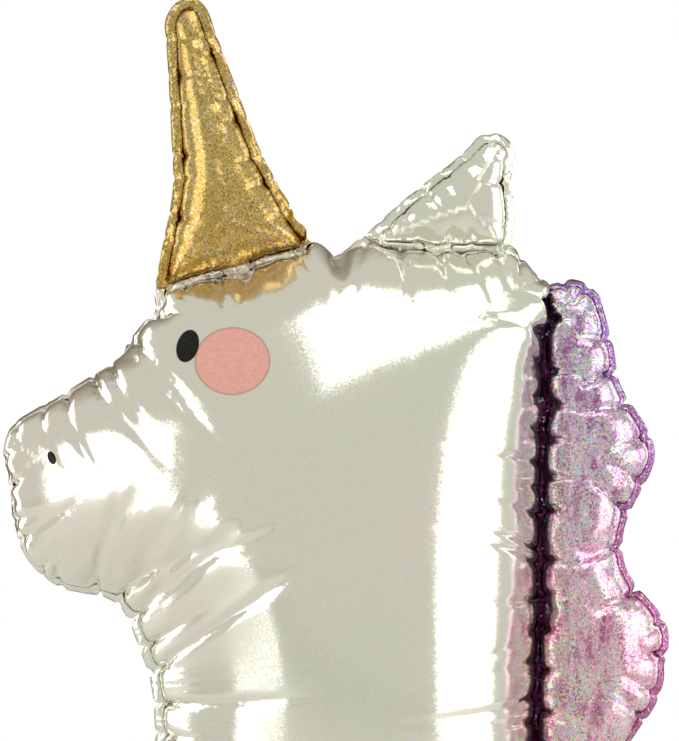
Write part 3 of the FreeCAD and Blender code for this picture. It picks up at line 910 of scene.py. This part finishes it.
sealed, owner, weld = split_sealed()
over = film.triangles[film.region == PASSAGE]
over_middles = film.points[over].mean(1)
for k, cell in enumerate(CELLS):
    front, back, edge, slot = FILMS[cell]
    mine = film.triangles[film.region == k]
    both = (("front", mine, front), ("back", film.back[mine][:, ::-1], back))
    for side, triangles, material in both:
        made = solid_film(cell + "_" + side, triangles, FILM_THICKNESS, 0)
        settle(made, cell, material, slot, "%s_%s_film" % (cell, side))
    rim = film.triangles[sealed[(owner == k) & (weld == 0)]]
    made = solid_film(cell + "_edge", rim, SEAM_THICKNESS, 0.5)
    settle(made, cell, edge, slot, cell + "_seam_band")
    if cell == "body":
        continue
    material, slot = WELDS[cell]
    made = solid_film(cell + "_weld", film.triangles[sealed[weld == k]], SEAM_THICKNESS, 0.5)
    settle(made, cell, material, slot, cell + "_hinge_weld")
    beyond = np.abs(HINGES[cell].place(over_middles)[1])
    near = over[(beyond < 0.015) & (nearest(SEAMS[k], over_middles)[1] < 0.012)]
    passage = np.vstack([near, film.back[near][:, ::-1]])
    made = solid_film(cell + "_passages", passage, FILM_THICKNESS, 0)
    settle(made, cell, material, slot, cell + "_passage_films")

for name, material in (
    ("tail_front_film", pearl_plain),
    ("tail_back_film", pearl_plain),
    ("ribbon_tab", pearl_plain),
    ("valve_front_film", clear),
    ("valve_back_film", clear),
):
    cad_mesh = nodes[name].data
    cad_mesh.materials.clear()
    cad_mesh.materials.append(material)


# ---- studio --------------------------------------------------------------------------------------
def softbox(name, place, target, wide, high, power):
    """A rectangular light at place that shines towards target."""
    light = bpy.data.lights.new(name, "AREA")
    light.shape = "RECTANGLE"
    light.size, light.size_y, light.energy = wide, high, power
    light.color = (1.0, 0.985, 0.95)
    made = bpy.data.objects.new(name, light)
    made.location = place
    made.rotation_euler = (Vector(target) - Vector(place)).to_track_quat("-Z", "Y").to_euler()
    bpy.context.collection.objects.link(made)


low, high = cad_box
middle = (low + high) / 2
softbox("left_softbox", (-1.77, -0.94, 0.55), middle, 1.2, 2.2, 9)
softbox("right_softbox", (1.9, -0.55, 0.55), middle, 1.6, 2.2, 12)
softbox("top_softbox", (0.50, -0.95, 2.40), (0.0, 0.0, 0.65), 2.0, 1.5, 10.5)
softbox("back_left_softbox", (-1.7, 1.1, 0.9), middle, 0.85, 1.8, 5.4)
softbox("back_right_softbox", (1.7, 1.1, 0.9), middle, 0.85, 1.8, 5.4)

world = bpy.data.worlds.new("studio")
bpy.context.scene.world = world
world.use_nodes = True
tree = world.node_tree
around = tree.nodes["Background"]
toward = tree.nodes.new("ShaderNodeSeparateXYZ")
tree.links.new(tree.nodes.new("ShaderNodeTexCoord").outputs["Generated"], toward.inputs[0])
room = tree.nodes.new("ShaderNodeValToRGB")
stops = room.color_ramp.elements
stops[0].position, stops[0].color = 0.45, (0.62, 0.62, 0.55, 1)
stops[1].position, stops[1].color = 0.90, (0.20, 0.17, 0.11, 1)
tree.links.new(toward.outputs["Y"], room.inputs[0])
tree.links.new(room.outputs[0], around.inputs["Color"])
seen = tree.nodes.new("ShaderNodeBackground")
seen.inputs["Color"].default_value = (1, 1, 1, 1)
choose = tree.nodes.new("ShaderNodeMixShader")
rays = tree.nodes.new("ShaderNodeLightPath")
tree.links.new(rays.outputs["Is Camera Ray"], choose.inputs[0])
tree.links.new(around.outputs[0], choose.inputs[1])
tree.links.new(seen.outputs[0], choose.inputs[2])
tree.links.new(choose.outputs[0], tree.nodes["World Output"].inputs["Surface"])

FLOOR_RADIUS, FLOOR_SIDES = 2.6, 96
floor_mesh = bpy.data.meshes.new("floor")
turns = [2 * math.pi * k / FLOOR_SIDES for k in range(FLOOR_SIDES)]
ring = [(FLOOR_RADIUS * math.cos(a), FLOOR_RADIUS * math.sin(a), low.z - 0.002) for a in turns]
floor_mesh.from_pydata(ring, [], [tuple(range(FLOOR_SIDES))])
floor = bpy.data.objects.new("floor", floor_mesh)
bpy.context.collection.objects.link(floor)
paint = Shade("floor_paint", Roughness=0.7)
grey = paint.ramp(paint.noise(0.4), (0.4, (0.80, 0.80, 0.79)), (0.6, (0.83, 0.83, 0.82)))
floor_mesh.materials.append(paint.finish(grey))

bpy.context.scene.view_settings.view_transform = "Standard"

# ---- camera --------------------------------------------------------------------------------------
SEEN_WIDTH = 0.577
SEEN_MIDDLE = (-0.0034, 0.6756)
CAMERA_AWAY = 3.2

camera = bpy.data.cameras.new("camera")
camera.sensor_fit = "HORIZONTAL"
camera.lens = camera.sensor_width * CAMERA_AWAY / SEEN_WIDTH
looking = bpy.data.objects.new("camera", camera)
looking.location = (SEEN_MIDDLE[0], -CAMERA_AWAY, SEEN_MIDDLE[1])
looking.rotation_euler = (math.radians(90), 0, 0)
bpy.context.collection.objects.link(looking)
bpy.context.scene.camera = looking
